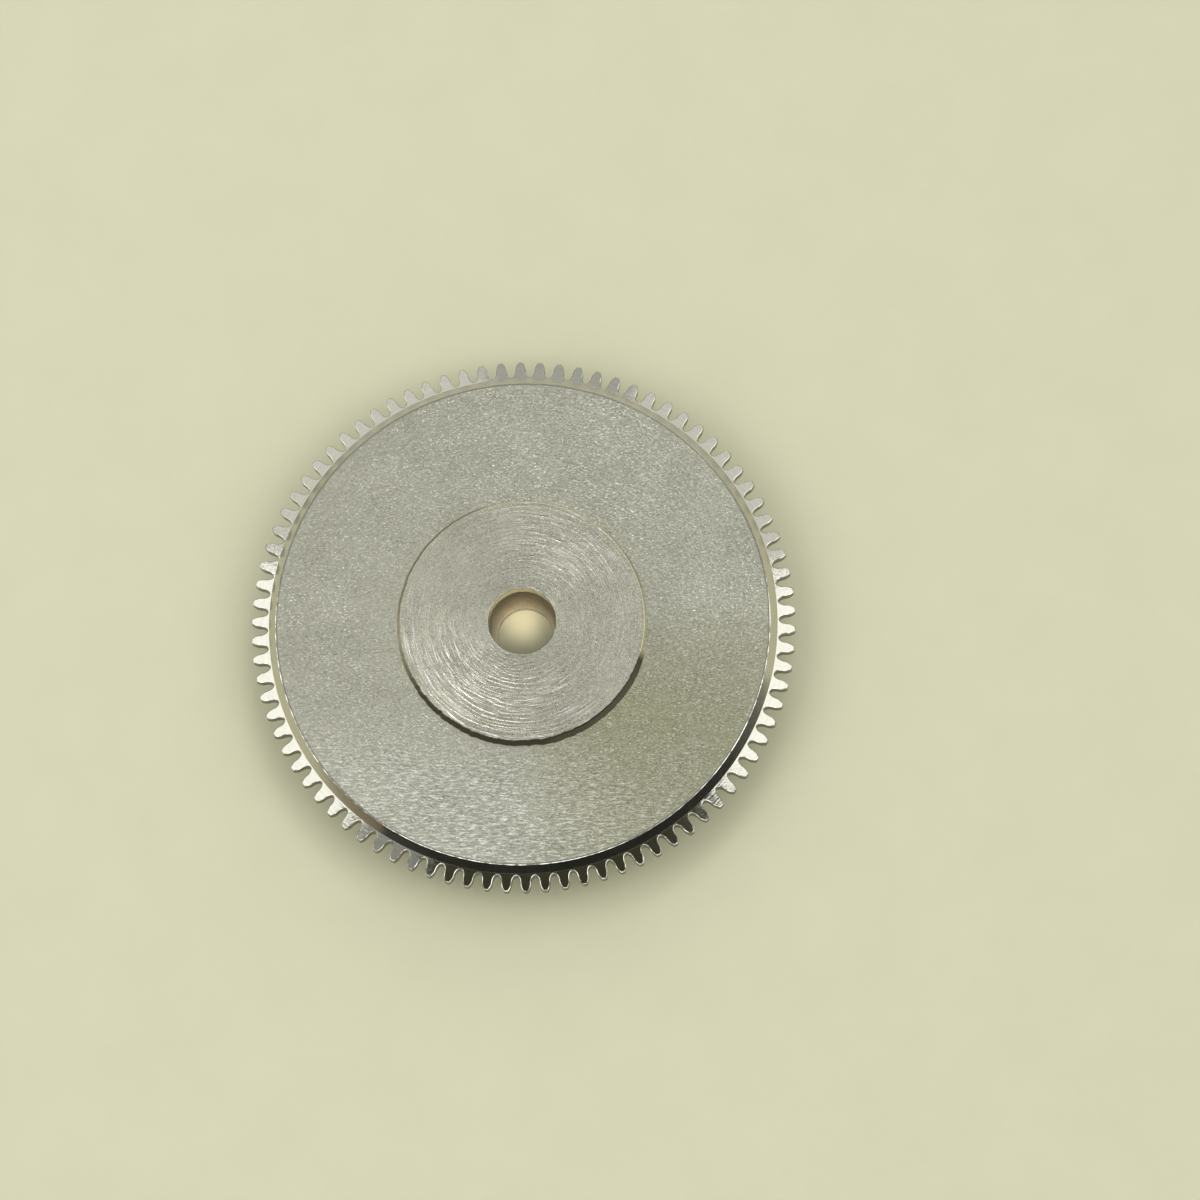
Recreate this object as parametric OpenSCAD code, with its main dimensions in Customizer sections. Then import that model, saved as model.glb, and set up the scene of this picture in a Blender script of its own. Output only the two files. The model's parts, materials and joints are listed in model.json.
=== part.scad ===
// Mainspring barrel of a watch, lying with its cover up. Sizes are in millimetres.
// The origin is on the axis, in the plane of the boss that the drum stands on.

/* [Toothed rim] */
// Number of teeth cut in the drum
tooth_count = 86; // [80:1:96]
// Module of the teeth
tooth_module = 0.13; // [0.12:0.005:0.14]
// Height of a tooth above the pitch circle
addendum = 0.17; // [0.14:0.01:0.18]
// Depth of a gap below the pitch circle
dedendum = 0.17; // [0.14:0.005:0.2]
// Thickness of a tooth at the pitch circle
tooth_w = 0.21; // [0.18:0.005:0.23]
// Width left on the rounded tip of a tooth
tip_w = 0.08; // [0.04:0.01:0.11]
// How late a tooth narrows to its tip: 1 gives straight sides, more gives rounder ones
tip_taper = 2; // [1.2:0.1:3]
// Thickness of the toothed rim along the axis
rim_t = 0.30; // [0.2:0.01:0.4]
// Width of the flat land between the gaps and the bevel
root_land = 0.035; // [0.02:0.005:0.06]

/* [Drum] */
// Width of the bevel between that land and the crest
bevel_w = 0.155; // [0.1:0.005:0.2]
// Height of that bevel, which is how far the teeth lie below the cover's face
bevel_h = 0.18; // [0.1:0.01:0.24]
// Width of the crest that stands round the cover
crest_w = 0.03; // [0.02:0.005:0.05]
// Width of the ledge that the cover seats on
ledge_w = 0.34; // [0.2:0.01:0.4]
// Thickness of the drum's wall below the teeth
wall_t = 0.28; // [0.2:0.01:0.32]
// Thickness of the drum's floor
floor_t = 0.16; // [0.12:0.01:0.25]
// Height of the chamber between the floor and the cover
chamber_h = 0.94; // [0.7:0.01:1.2]
// Radius of the arbor hole in the floor
drum_bore_r = 0.59; // [0.4:0.01:0.8]
// Radius of the boss under the floor
foot_r = 1.9; // [1.4:0.1:2.6]
// Height of the boss under the floor
foot_h = 0.04; // [0.02:0.01:0.1]
// Radius of the round edge under the wall
drum_edge_r = 0.09; // [0.04:0.01:0.12]
// Number of notches in the wall that the bridle grips
notch_count = 6; // [4:1:10]
// Depth of a notch
notch_depth = 0.06; // [0.03:0.01:0.1]
// Radius of the cutter that makes a notch
notch_r = 0.3; // [0.2:0.05:0.5]
// How far the drum's mouth is undercut to hold the cover
undercut = 0.025; // [0.01:0.005:0.03]

/* [Cover] */
// Thickness of the cover's disc
cover_t = 0.19; // [0.15:0.01:0.25]
// Height of the boss above the cover's face
boss_h = 0.17; // [0.14:0.01:0.25]
// Radius of the boss
boss_r = 2.6; // [1.8:0.01:3.2]
// Width of the bevel round the boss's foot
boss_bevel_w = 0.07; // [0.03:0.01:0.12]
// Height of that bevel
boss_bevel_h = 0.09; // [0.04:0.01:0.1]
// Radius of the arbor hole in the cover
cover_bore_r = 0.72; // [0.5:0.01:1]
// How far the cover's edge leans in towards its face
edge_lean = 0.01; // [0.005:0.005:0.02]
// Depth of the relief turned in the cover's underside
relief_depth = 0.03; // [0.02:0.01:0.05]
// Width of the hub that the relief leaves round the hole
hub_w = 0.5; // [0.3:0.05:0.8]

/* [Mainspring] */
// Thickness of the blade
blade_t = 0.11; // [0.08:0.01:0.13]
// Number of coils that lie packed against the wall
packed_coils = 11; // [7:1:12]
// Space between two packed coils
coil_gap = 0.03; // [0.02:0.01:0.04]
// Turns over which the blade leaves the pack for the centre
free_turns = 1.25; // [1:0.25:2]
// Turns of the tight inner coil
eye_turns = 1.25; // [1:0.25:1.75]
// Radius inside the inner coil, which grips the arbor
eye_r = 1.25; // [1:0.05:1.4]
// Length of the eye's slot along the blade
eye_slot_l = 0.5; // [0.35:0.05:0.7]
// Width of the eye's slot
eye_slot_w = 0.3; // [0.2:0.05:0.3]
// Distance from the blade's inner end to the middle of the slot
eye_slot_pos = 0.65; // [0.5:0.05:1]

/* [Bridle] */
// Thickness of the bridle
bridle_t = 0.13; // [0.1:0.01:0.16]
// Angle that the bridle covers round the wall
bridle_angle = 290; // [200:5:330]
// Number of rivets between bridle and blade
rivet_count = 2; // [1:1:3]
// Radius of a rivet
rivet_r = 0.12; // [0.08:0.01:0.18]
// Distance from the blade's end to the first rivet, and from each rivet to the next
rivet_step = 0.75; // [0.5:0.05:1]

/* [Clearances] */
// Gap round the cover in the drum's mouth
cover_gap = 0.03; // [0.025:0.005:0.04]
// Gap between the bridle and the drum's wall
slip_gap = 0.03; // [0.02:0.01:0.05]
// Gap between the bridle and the outermost coil
bridle_gap = 0.01; // [0.005:0.005:0.02]
// Gap between the blade's edges and the floor or the cover
blade_gap = 0.03; // [0.02:0.01:0.05]
// Chamfer on turned edges
chamfer = 0.02; // [0.01:0.005:0.025]

/* [Hidden] */

$fn = 96;
small_fn = 32;
quarter_turn = 90;

// Radii, worked out from the teeth inwards
pitch_r = tooth_module * tooth_count / 2;
tip_r = pitch_r + addendum;
root_r = pitch_r - dedendum;
bevel_foot_r = root_r - root_land;
crest_r = bevel_foot_r - bevel_w;
mouth_r = crest_r - crest_w;
cover_r = mouth_r - cover_gap;
chamber_r = mouth_r - ledge_w;
wall_r = chamber_r + wall_t;
// The toothed ring starts inside the drum's own metal, clear of the undercut mouth
ring_inner_r = (mouth_r + undercut + bevel_foot_r) / 2;

// Heights, worked out from the foot upwards
floor_top = foot_h + floor_t;
seat_z = floor_top + chamber_h;
face_z = seat_z + cover_t;
boss_z = face_z + boss_h;
rim_top = face_z - bevel_h;
rim_z = rim_top - rim_t;

// Half the pitch as an angle, and the angle that half a width covers at a radius
half_pitch = 180 / tooth_count;
function half_angle(width, radius) = width / 2 / radius * 180 / PI;
function polar(radius, angle) = [radius * cos(angle), radius * sin(angle)];
tooth_half = half_angle(tooth_w, pitch_r);
tip_half = half_angle(tip_w, tip_r);

// Right side of a tooth, from the middle of the gap up to the tip, as radius and angle.
// The gap is a quarter ellipse up to the pitch circle, and from there the tooth rounds in to its tip.
curve_steps = 3;
half_tooth = concat(
    [for (i = [0 : curve_steps])
        let (t = quarter_turn * i / curve_steps)
        [root_r + dedendum * (1 - cos(t)),
         half_pitch - (half_pitch - tooth_half) * sin(t)]],
    [for (i = [1 : curve_steps])
        let (u = i / curve_steps)
        [pitch_r + addendum * u,
         tip_half + (tooth_half - tip_half) * (1 - pow(u, tip_taper))]]
);

// Up one side and down the other, leaving the last gap point to the next tooth
tooth_points = concat(
    [for (p = half_tooth) [p[0], -p[1]]],
    [for (i = [len(half_tooth) - 1 : -1 : 1]) half_tooth[i]]
);
rim_points = [
    for (i = [0 : tooth_count - 1])
        for (p = tooth_points)
            polar(p[0], p[1] + i * 2 * half_pitch)
];

// Mainspring: radii of the middle of the blade
bridle_outer_r = chamber_r - slip_gap;
bridle_inner_r = bridle_outer_r - bridle_t;
blade_outer_r = bridle_inner_r - bridle_gap - blade_t / 2;
coil_pitch = blade_t + coil_gap;
pack_inner_r = blade_outer_r - packed_coils * coil_pitch;
eye_end_r = eye_r + blade_t / 2;
eye_start_r = eye_end_r + eye_turns * coil_pitch;
blade_turns = packed_coils + free_turns + eye_turns;
blade_h = chamber_h - 2 * blade_gap;
blade_z = floor_top + blade_gap;
blade_mid_z = blade_z + blade_h / 2;

// The blade's middle radius after a number of turns from its outer end:
// the pack, then a smooth way in to the centre, then the coil that grips the arbor
function ease(t) = t * t * (3 - 2 * t);
function blade_r(turn) =
    turn <= packed_coils ? blade_outer_r - coil_pitch * turn
    : turn <= packed_coils + free_turns
        ? let (t = (turn - packed_coils) / free_turns)
          pack_inner_r + (eye_start_r - pack_inner_r) * ease(t)
    : eye_start_r - coil_pitch * (turn - packed_coils - free_turns);

steps_per_turn = 36;
blade_steps = round(blade_turns * steps_per_turn);
blade_places = [for (i = [0 : blade_steps]) blade_turns * i / blade_steps];
blade_outline = concat(
    [for (t = blade_places) polar(blade_r(t) + blade_t / 2, 360 * t)],
    [for (i = [blade_steps : -1 : 0])
        let (t = blade_places[i])
        polar(blade_r(t) - blade_t / 2, 360 * t)]
);

// Least space between one coil and the next, measured all along the blade
least_coil_gap = min([
    for (t = blade_places)
        if (t + 1 <= blade_turns) blade_r(t) - blade_r(t + 1) - blade_t
]);
echo(least_coil_gap = least_coil_gap);

// The rivets reach in past the chords that the blade's inner face is drawn with
chord_sag = blade_outer_r * (1 - cos(180 / steps_per_turn));

// Turned body of the drum in section: foot, wall, bevelled crest, cover seat, chamber, floor
module drum_section() {
    edge = drum_edge_r;
    edge_steps = 6;
    polygon(concat(
        [[drum_bore_r + chamfer, 0], [foot_r, 0], [foot_r, foot_h]],
        [for (t = [0 : quarter_turn / edge_steps : quarter_turn])
            [wall_r - edge + edge * sin(t), foot_h + edge - edge * cos(t)]],
        [[wall_r, rim_z], [bevel_foot_r, rim_z], [bevel_foot_r, rim_top],
         [crest_r, face_z], [mouth_r, face_z],
         [mouth_r, face_z - chamfer], [mouth_r + undercut, seat_z + chamfer],
         [mouth_r + undercut, seat_z], [chamber_r, seat_z],
         [chamber_r, floor_top + chamfer], [chamber_r - chamfer, floor_top],
         [drum_bore_r + chamfer, floor_top], [drum_bore_r, floor_top - chamfer],
         [drum_bore_r, chamfer]]
    ));
}

// Notches stop a little above the floor and run out at the ledge
module wall_notches() {
    start_z = floor_top + 2 * chamfer;
    for (i = [0 : notch_count - 1])
        rotate([0, 0, (i + 0.5) * 360 / notch_count])
            translate([chamber_r + notch_depth - notch_r, 0, start_z])
                cylinder(r = notch_r, h = chamber_h, $fn = small_fn);
}

module toothed_ring() {
    translate([0, 0, rim_z])
        difference() {
            linear_extrude(rim_t) polygon(rim_points);
            translate([0, 0, -rim_t]) cylinder(r = ring_inner_r, h = 3 * rim_t);
        }
}

module barrel_drum() {
    color("#a9a899") {
        difference() {
            rotate_extrude() drum_section();
            wall_notches();
        }
        toothed_ring();
    }
}

// Turned cover in section: the edge leans in to the face, and the underside has a relief
// between the hub round the hole and the band that seats on the ledge
module cover_section() {
    relief_in = cover_bore_r + hub_w;
    relief_out = chamber_r - chamfer;
    polygon([
        [cover_bore_r, seat_z + chamfer], [cover_bore_r + chamfer, seat_z],
        [relief_in, seat_z], [relief_in + relief_depth, seat_z + relief_depth],
        [relief_out - relief_depth, seat_z + relief_depth], [relief_out, seat_z],
        [cover_r - chamfer, seat_z], [cover_r, seat_z + chamfer],
        [cover_r - edge_lean, face_z - chamfer / 2],
        [cover_r - edge_lean - chamfer / 2, face_z],
        [boss_r + boss_bevel_w, face_z], [boss_r, face_z + boss_bevel_h],
        [boss_r, boss_z - chamfer], [boss_r - chamfer, boss_z],
        [cover_bore_r + chamfer, boss_z], [cover_bore_r, boss_z - chamfer]
    ]);
}

module barrel_cover() {
    color("#acaa97") rotate_extrude() cover_section();
}

// Rivets, or the holes that they fill, between two radii
module rivets(from_r, to_r) {
    for (i = [1 : rivet_count])
        rotate([0, 0, rivet_step * i / blade_outer_r * 180 / PI])
            translate([from_r, 0, blade_mid_z])
                rotate([0, quarter_turn, 0])
                    cylinder(r = rivet_r, h = to_r - from_r, $fn = small_fn);
}

// Cutter for the slot near the inner end that the arbor's hook catches, with round ends
module eye_slot() {
    back = eye_slot_pos / eye_end_r * 180 / PI;
    depth = 2 * blade_t;
    half_l = (eye_slot_l - eye_slot_w) / 2;
    rotate([0, 0, 360 * blade_turns - back])
        translate([eye_end_r - depth / 2, 0, blade_mid_z]) {
            for (side = [-1, 1])
                translate([0, side * half_l, 0])
                    rotate([0, quarter_turn, 0])
                        cylinder(r = eye_slot_w / 2, h = depth, $fn = small_fn);
            translate([0, -half_l, -eye_slot_w / 2])
                cube([depth, 2 * half_l, eye_slot_w]);
        }
}

module mainspring() {
    color("#8f9399")
        difference() {
            translate([0, 0, blade_z]) linear_extrude(blade_h) polygon(blade_outline);
            rivets(blade_outer_r - blade_t, bridle_outer_r);
            eye_slot();
        }
}

module bridle() {
    color("#80858c")
        difference() {
            translate([0, 0, blade_z])
                rotate_extrude(angle = bridle_angle)
                    translate([bridle_inner_r, 0]) square([bridle_t, blade_h]);
            rivets(bridle_inner_r - bridle_t, chamber_r);
        }
}

// Flush rivets, as long as blade and bridle together
module bridle_rivets() {
    color("#b9bcc0")
        rivets(blade_outer_r - blade_t / 2 - chord_sag, bridle_outer_r);
}

barrel_drum();
barrel_cover();
mainspring();
bridle();
bridle_rivets();
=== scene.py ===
"""Mainspring barrel: a toothed drum, its snap-in cover, and the wound spring inside."""

import json
import math

import bmesh
import bpy
import numpy as np
from mathutils import Matrix, Vector, noise


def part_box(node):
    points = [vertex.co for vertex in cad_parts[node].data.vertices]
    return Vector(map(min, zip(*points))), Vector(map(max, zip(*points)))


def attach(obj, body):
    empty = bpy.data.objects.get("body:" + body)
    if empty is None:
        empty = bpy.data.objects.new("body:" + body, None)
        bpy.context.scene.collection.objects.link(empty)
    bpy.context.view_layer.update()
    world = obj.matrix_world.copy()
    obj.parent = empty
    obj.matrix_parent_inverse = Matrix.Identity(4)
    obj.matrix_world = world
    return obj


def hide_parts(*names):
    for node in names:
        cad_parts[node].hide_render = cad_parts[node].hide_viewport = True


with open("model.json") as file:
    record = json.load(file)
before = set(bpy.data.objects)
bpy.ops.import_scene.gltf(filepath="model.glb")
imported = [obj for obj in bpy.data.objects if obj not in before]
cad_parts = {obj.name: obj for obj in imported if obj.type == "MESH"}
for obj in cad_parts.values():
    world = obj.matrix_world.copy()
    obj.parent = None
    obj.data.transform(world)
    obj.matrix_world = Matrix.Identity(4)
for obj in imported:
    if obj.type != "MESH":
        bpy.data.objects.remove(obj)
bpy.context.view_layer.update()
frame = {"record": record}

MM = 0.001
_, drum_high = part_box("barrel_drum")
cover_low, cover_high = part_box("barrel_cover")
spring_low, spring_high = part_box("mainspring")
bridle_low, bridle_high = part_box("bridle")
bores = {m["name"]: m["dims"]["r_mm"] for m in frame["record"]["mounts"] if m["kind"] == "bore"}

# Sizes in millimetres. Those that the frame gives come from it, and the rest repeat the part's own.
TOOTH_COUNT = 86
TIP_R = drum_high.x / MM
ADDENDUM = 0.17
DEDENDUM = 0.17
PITCH_R = TIP_R - ADDENDUM
ROOT_R = PITCH_R - DEDENDUM
TOOTH_W = 0.21
TIP_W = 0.08
TIP_TAPER = 2.0
RIM_T = 0.30
ROOT_LAND = 0.035
BEVEL_W = 0.155
BEVEL_H = 0.18
CREST_W = 0.03
LEDGE_W = 0.34
WALL_T = 0.28
FLOOR_T = 0.16
FOOT_R = 1.9
FOOT_H = 0.04
DRUM_EDGE_R = 0.09
NOTCH_COUNT = 6
NOTCH_DEPTH = 0.06
NOTCH_R = 0.3
UNDERCUT = 0.025
DRUM_BORE_R = bores["drum_bore"]
COVER_BORE_R = bores["cover_bore"]
BOSS_R = 2.6
BOSS_BEVEL_W = 0.07
BOSS_BEVEL_H = 0.09
COVER_T = 0.19
RELIEF_DEPTH = 0.03
HUB_W = 0.5
BLADE_T = 0.11
PACKED_COILS = 11
COIL_GAP = 0.03
FREE_TURNS = 1.25
EYE_TURNS = 1.25
EYE_R = 1.25
EYE_SLOT_L = 0.5
EYE_SLOT_W = 0.3
EYE_SLOT_POS = 0.65
BRIDLE_T = 0.13
BRIDLE_ANGLE = 290
RIVET_COUNT = 2
RIVET_R = 0.12
RIVET_STEP = 0.75
COVER_GAP = 0.03
SLIP_GAP = 0.03
BRIDLE_GAP = 0.01
CHAMFER = 0.02

BEVEL_FOOT_R = ROOT_R - ROOT_LAND
CREST_R = BEVEL_FOOT_R - BEVEL_W
MOUTH_R = CREST_R - CREST_W
COVER_R = MOUTH_R - COVER_GAP
CHAMBER_R = MOUTH_R - LEDGE_W
WALL_R = CHAMBER_R + WALL_T
FLOOR_TOP = FOOT_H + FLOOR_T
NOTCH_FOOT = FLOOR_TOP + 2 * CHAMFER
SEAT_Z = cover_low.z / MM
FACE_Z = drum_high.z / MM
BOSS_Z = cover_high.z / MM
RIM_TOP = FACE_Z - BEVEL_H
RIM_Z = RIM_TOP - RIM_T
BLADE_Z = spring_low.z / MM
BLADE_TOP = spring_high.z / MM
BLADE_MIDDLE = (BLADE_Z + BLADE_TOP) / 2
COIL_PITCH = BLADE_T + COIL_GAP
BRIDLE_OUTER_R = CHAMBER_R - SLIP_GAP
BRIDLE_INNER_R = BRIDLE_OUTER_R - BRIDLE_T
BLADE_OUTER_R = BRIDLE_INNER_R - BRIDLE_GAP - BLADE_T / 2

# How far the tooth tips fall below the bevel's foot, because the rim's upper side is turned conical
TIP_FALL = 0.045
# How much the teeth differ in length, where in the noise that is read from tooth to tooth, and how
# far all stay back, so that none passes the part's own
TOOTH_SPREAD = 0.004
TOOTH_NOISE_STEP = 1.7
TOOTH_NOISE_ROW = 3.1
TOOTH_BACK = 0.003
# Width and drop of the bright chamfers along the teeth's upper edges, and of the one on the crest
GLINT_W = 0.013
GLINT_DROP = 0.009
CREST_GLINT_IN = 0.005
CREST_GLINT_OUT = 0.007
CREST_GLINT_DROP = 0.0078
# The seam round the cover, which snaps in almost tight at the top
SEAM = 0.0015
# Radii of the rounded edges that plating and tumbling leave
BLADE_EDGE = 0.02
BOSS_EDGE = 0.018
EDGE = 0.016
SOFT_EDGE = 0.015
BOSS_BORE_EDGE = 0.014
FOOT_EDGE = 0.012
CORNER = 0.01
TOOTH_EDGE = 0.004
TOOTH_CHAMFER_EDGE = 0.003
SHARP_EDGE = 0.002
MOUTH_EDGE = 0.001
# How far a rivet stands out inside the blade, and the two steps in which its ends are domed
RIVET_OUT = 0.012
DOME_R = 0.9 * RIVET_R
DOME_TOP_H = 0.002
DOME_H = 0.01
# How far a point may lie from a size and still count as being at it, and a hair's breadth
NEAR = 0.004
HAIR = 0.001

# How ragged the tool left the edge round the boss, in long and in short waves, how fine the noise of
# the long waves is and how many times finer that of the short ones, on which side the edge is most
# torn and by what share more, and how far from it points are moved
RAGGED_LONG = 0.012
RAGGED_SHORT = 0.01
LONG_WAVES = 12
SHORT_WAVES = 2.4
RAGGED_SIDE = math.radians(235)
RAGGED_MORE = 0.8
RAGGED_REACH = 0.03
# Where the boss's bevel is narrower and where it is wider: the share of its width, and in degrees
# the direction, how far that holds to each side, and how far it then takes to fade
BEVEL_NARROWER = ((0.75, 3, 12, 6), (0.4, 50, 40, 20), (0.15, 180, 35, 20))
BEVEL_WIDER = (0.3, -48, 24, 8)

# Faces that meet at more than the first angle have a sharp edge between them, and those at more
# than the second don't share their shading
SHARP_ANGLE = math.radians(32)
SHADED_ANGLE = math.radians(35)


# Shapes

def rounded(corners, steps=3):
    """A closed section as (radius, height) points, with each (radius, height, fillet) corner rounded."""
    points = []
    count = len(corners)
    for i, (r, z, fillet) in enumerate(corners):
        here = Vector((r, z))
        if not fillet:
            points.append((r, z))
            continue
        back = (Vector(corners[i - 1][:2]) - here).normalized()
        ahead = (Vector(corners[(i + 1) % count][:2]) - here).normalized()
        half = math.acos(max(-1, min(1, back.dot(ahead)))) / 2
        tangent = fillet / math.tan(half)
        centre = here + (back + ahead).normalized() * (fillet / math.sin(half))
        start, end = here + back * tangent - centre, here + ahead * tangent - centre
        for k in range(steps + 1):
            arm = start.slerp(end, k / steps) * fillet
            points.append((centre.x + arm.x, centre.y + arm.y))
    return points


def smooth(mesh):
    """Shades a mesh smooth, except across its sharp edges."""
    mesh.polygons.foreach_set("use_smooth", [True] * len(mesh.polygons))
    mesh.set_sharp_from_angle(angle=SHARP_ANGLE)


def make_object(name, verts, faces):
    """A smooth object from millimetre points, with its normals outwards."""
    mesh = bpy.data.meshes.new(name)
    mesh.from_pydata((np.asarray(verts, float) * MM).tolist(), [], faces)
    bm = bmesh.new()
    bm.from_mesh(mesh)
    if bm.calc_volume(signed=True) < 0:
        bmesh.ops.reverse_faces(bm, faces=bm.faces)
    bm.to_mesh(mesh)
    bm.free()
    smooth(mesh)
    piece = bpy.data.objects.new(name, mesh)
    bpy.context.scene.collection.objects.link(piece)
    return piece


def loop_faces(columns, rings, closed):
    """Quads between neighbouring rings of points, and round the last column to the first if closed."""
    c = np.arange(columns if closed else columns - 1)[:, None]
    r = np.arange(rings)[None, :]
    c2, r2 = (c + 1) % columns, (r + 1) % rings
    quads = np.stack([c * rings + r, c2 * rings + r, c2 * rings + r2, c * rings + r2], axis=-1)
    return quads.reshape(-1, 4).tolist()


def tooth_outline():
    """Points round the toothed rim, and their outward normals."""
    steps = 6
    half_pitch = math.pi / TOOTH_COUNT
    tooth_half = TOOTH_W / 2 / PITCH_R
    tip_half = TIP_W / 2 / TIP_R
    quarter = [math.pi / 2 * k / steps for k in range(steps + 1)]
    side = [(ROOT_R + DEDENDUM * (1 - math.cos(t)),
             half_pitch - (half_pitch - tooth_half) * math.sin(t)) for t in quarter[:-1]]
    side += [(PITCH_R + ADDENDUM * k / steps,
              tip_half + (tooth_half - tip_half) * (1 - (k / steps) ** TIP_TAPER))
             for k in range(steps + 1)]
    tooth = [(r, -a) for r, a in side] + side[:0:-1]
    points = []
    for i in range(TOOTH_COUNT):
        # Each tooth comes off the cutter a few thousandths longer or shorter
        stretch = TOOTH_SPREAD * noise.noise(Vector((i * TOOTH_NOISE_STEP, TOOTH_NOISE_ROW, 0)))
        middle = 2 * math.pi * i / TOOTH_COUNT
        for r, a in tooth:
            grown = r + stretch * max(0, (r - PITCH_R) / ADDENDUM) - TOOTH_BACK
            points.append((grown * math.cos(middle + a), grown * math.sin(middle + a)))
    points = np.array(points)
    run = np.roll(points, -1, axis=0) - np.roll(points, 1, axis=0)
    normals = np.stack([run[:, 1], -run[:, 0]], axis=-1)
    normals /= np.linalg.norm(normals, axis=1)[:, None]
    return points, normals


def notched(angle, radius):
    """The chamber wall's radius at an angle, with the notches that the bridle grips."""
    pitch = 2 * math.pi / NOTCH_COUNT
    off = (angle / pitch) % 1 - 0.5
    across = radius * np.sin(off * pitch)
    centre = radius + NOTCH_DEPTH - NOTCH_R
    inside = np.clip(NOTCH_R ** 2 - across ** 2, 0, None)
    return np.maximum(radius, np.where(inside > 0, centre + np.sqrt(inside), 0))


def drum_mesh():
    """The drum: one closed skin of columns round the axis, which follow the teeth at the rim."""
    outline, normals = tooth_outline()
    columns = len(outline)
    angle = 2 * math.pi * np.arange(columns) / columns - math.pi / TOOTH_COUNT
    around = np.stack([np.cos(angle), np.sin(angle)], axis=-1)
    section = rounded([
        (DRUM_BORE_R, 0, CHAMFER),
        (FOOT_R, 0, FOOT_EDGE),
        (FOOT_R, FOOT_H, CORNER),
        (WALL_R, FOOT_H, DRUM_EDGE_R),
        (WALL_R, RIM_Z, SOFT_EDGE),
        (ROOT_R, RIM_Z, EDGE),
        (ROOT_R, RIM_TOP - GLINT_DROP, TOOTH_EDGE),
        (ROOT_R - GLINT_W, RIM_TOP, TOOTH_CHAMFER_EDGE),
        (BEVEL_FOOT_R, RIM_TOP, SHARP_EDGE),
        (CREST_R + CREST_GLINT_OUT, FACE_Z - CREST_GLINT_DROP, SHARP_EDGE),
        (CREST_R - CREST_GLINT_IN, FACE_Z, SHARP_EDGE),
        (MOUTH_R, FACE_Z, MOUTH_EDGE),
        (MOUTH_R + UNDERCUT, SEAT_Z + CHAMFER, 0),
        (MOUTH_R + UNDERCUT, SEAT_Z, 0),
        (CHAMBER_R, SEAT_Z, CORNER),
        (CHAMBER_R, SEAT_Z - 5 * CHAMFER, 0),
        (CHAMBER_R, NOTCH_FOOT + CHAMFER / 2, 0),
        (CHAMBER_R, NOTCH_FOOT, 0),
        (CHAMBER_R, FLOOR_TOP, CHAMFER),
        (DRUM_BORE_R, FLOOR_TOP, CHAMFER),
    ])
    xyz = np.zeros((columns, len(section), 3))
    for k, (r, z) in enumerate(section):
        if r > BEVEL_FOOT_R + NEAR:
            flat = outline - normals * (ROOT_R - r)
            if z > RIM_Z + RIM_T / 2:
                out = np.linalg.norm(flat, axis=1)
                z = z - TIP_FALL * (out - BEVEL_FOOT_R) / (TIP_R - BEVEL_FOOT_R)
        elif abs(r - CHAMBER_R) < 1.1 * CORNER and z > NOTCH_FOOT:
            flat = around * (notched(angle, CHAMBER_R) + (r - CHAMBER_R))[:, None]
        else:
            flat = around * r
        xyz[:, k, :2] = flat
        xyz[:, k, 2] = z
    return make_object("barrel_drum_fine", xyz.reshape(-1, 3), loop_faces(columns, len(section), True))


def band(degrees, middle, half_width, fade):
    """1 within half_width of the middle direction, and falling to 0 over fade beyond that."""
    off = abs((degrees - middle + 180) % 360 - 180)
    return min(1, max(0, (half_width + fade - off) / fade))


def ragged(xyz):
    """Moves a cover's columns of points so that the edge round its boss is ragged and uneven."""
    r = np.hypot(xyz[..., 0], xyz[..., 1])
    z = xyz[..., 2]
    edge = ((r > BOSS_R - RAGGED_REACH) & (r < BOSS_R + BOSS_BEVEL_W + RAGGED_REACH)
            & (z > FACE_Z - HAIR))
    foot = z < FACE_Z + RAGGED_REACH
    for column in range(len(xyz)):
        a = math.atan2(xyz[column, 0, 1], xyz[column, 0, 0])
        torn = 1 + RAGGED_MORE * math.cos(a - RAGGED_SIDE)
        spot = Vector((math.cos(a) * LONG_WAVES, math.sin(a) * LONG_WAVES, 0))
        waves = torn * (RAGGED_LONG * noise.noise(spot) + RAGGED_SHORT * noise.noise(spot * SHORT_WAVES))
        narrower = max(share * band(math.degrees(a), *where) for share, *where in BEVEL_NARROWER)
        share, *where = BEVEL_WIDER
        wider = share * band(math.degrees(a), *where)
        move = waves + foot[column] * (wider - narrower) * BOSS_BEVEL_W
        xyz[column, :, :2] *= np.where(edge[column], 1 + move / BOSS_R, 1)[:, None]


def cover_mesh():
    """The cover: one closed section turned round the axis."""
    columns = 1080
    section = np.array(rounded([
        (COVER_BORE_R, SEAT_Z, SOFT_EDGE),
        (COVER_BORE_R + HUB_W, SEAT_Z, 0),
        (COVER_BORE_R + HUB_W + RELIEF_DEPTH, SEAT_Z + RELIEF_DEPTH, 0),
        (CHAMBER_R - CHAMFER - RELIEF_DEPTH, SEAT_Z + RELIEF_DEPTH, 0),
        (CHAMBER_R - CHAMFER, SEAT_Z, 0),
        (COVER_R, SEAT_Z, SOFT_EDGE),
        (MOUTH_R - SEAM, SEAT_Z + 0.75 * COVER_T, 0),
        (MOUTH_R - SEAM, FACE_Z, SEAM),
        (BOSS_R + BOSS_BEVEL_W, FACE_Z, 0),
        (BOSS_R, FACE_Z + BOSS_BEVEL_H, CORNER),
        (BOSS_R, BOSS_Z, BOSS_EDGE),
        (COVER_BORE_R, BOSS_Z, BOSS_BORE_EDGE),
    ]))
    angle = np.linspace(0, 2 * math.pi, columns, endpoint=False)[:, None]
    r, z = section[None, :, 0], section[None, :, 1]
    xyz = np.stack([r * np.cos(angle), r * np.sin(angle), z + 0 * angle], axis=-1)
    ragged(xyz)
    return make_object("barrel_cover_fine", xyz.reshape(-1, 3), loop_faces(columns, len(section), True))


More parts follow.
